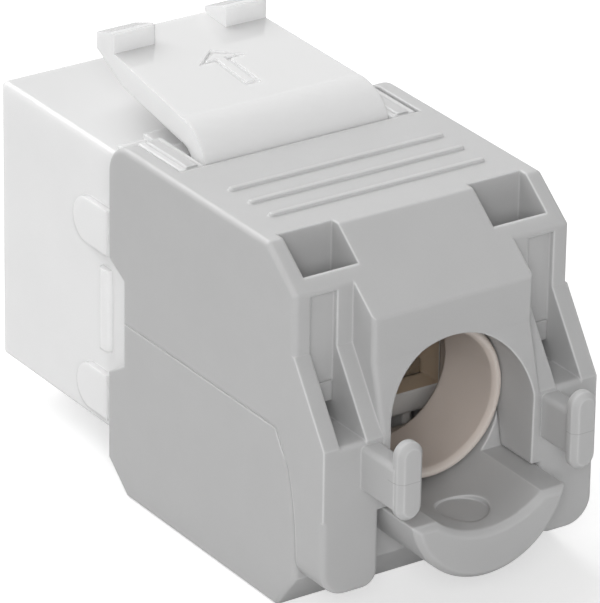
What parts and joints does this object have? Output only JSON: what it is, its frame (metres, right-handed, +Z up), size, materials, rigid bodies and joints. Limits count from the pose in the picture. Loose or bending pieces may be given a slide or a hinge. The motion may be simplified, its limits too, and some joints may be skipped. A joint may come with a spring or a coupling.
{
  "type": "keystone jack",
  "caption": "Tool-free keystone jack: glossy white plug housing with a sprung release tab and hinged grey rear covers that close over the wire terminals around a round cable collar.",
  "frame": {"origin": "middle of the part's outline in plan, on the base of the lower cover", "axes": "+Z up, -Y is the plug face, +Y is the cable end, X across"},
  "size_m": [0.0166, 0.036, 0.023],
  "materials": {
    "housing_white": "glossy moulded white plastic",
    "cover_grey": "satin moulded light grey plastic",
    "guide_beige": "satin moulded warm beige plastic",
    "terminal_white": "matt moulded white plastic",
    "board_green": "solder-resist coated circuit board",
    "carrier_dark": "matt moulded dark plastic",
    "contact_gold": "gold-plated spring wire",
    "contact_tin": "tin-plated bronze strip"
  },
  "bodies": {
    "housing": {"jack_housing": "housing_white", "wire_manager": "guide_beige", "terminal_block": "terminal_white", "circuit_board": "board_green", "contact_carrier": "carrier_dark", "plug_contact_1": "contact_gold", "plug_contact_2": "contact_gold", "plug_contact_3": "contact_gold", "plug_contact_4": "contact_gold", "plug_contact_5": "contact_gold", "plug_contact_6": "contact_gold", "plug_contact_7": "contact_gold", "plug_contact_8": "contact_gold", "idc_contact_1": "contact_tin", "idc_contact_2": "contact_tin", "idc_contact_3": "contact_tin", "idc_contact_4": "contact_tin", "idc_contact_5": "contact_tin", "idc_contact_6": "contact_tin", "idc_contact_7": "contact_tin", "idc_contact_8": "contact_tin"},
    "release_tab": {"release_tab": "housing_white"},
    "upper_cover": {"upper_cover": "cover_grey"},
    "lower_cover": {"lower_cover": "cover_grey"}
  },
  "joints": [
    {"name": "upper_cover_hinge", "type": "hinge", "parent": "housing", "child": "upper_cover", "pos_m": [0, -0.0039, 0.0164], "axis": [1, 0, 0], "range_deg": [0, 55]},
    {"name": "lower_cover_hinge", "type": "hinge", "parent": "housing", "child": "lower_cover", "pos_m": [0, -0.0039, 0.0033], "axis": [-1, 0, 0], "range_deg": [0, 55]},
    {"name": "release_tab_press", "type": "hinge", "parent": "housing", "child": "release_tab", "pos_m": [0, -0.0009, 0.0173], "axis": [1, 0, 0], "range_deg": [0, 8], "stiffness_Nm_per_rad": 0.1}
  ]
}
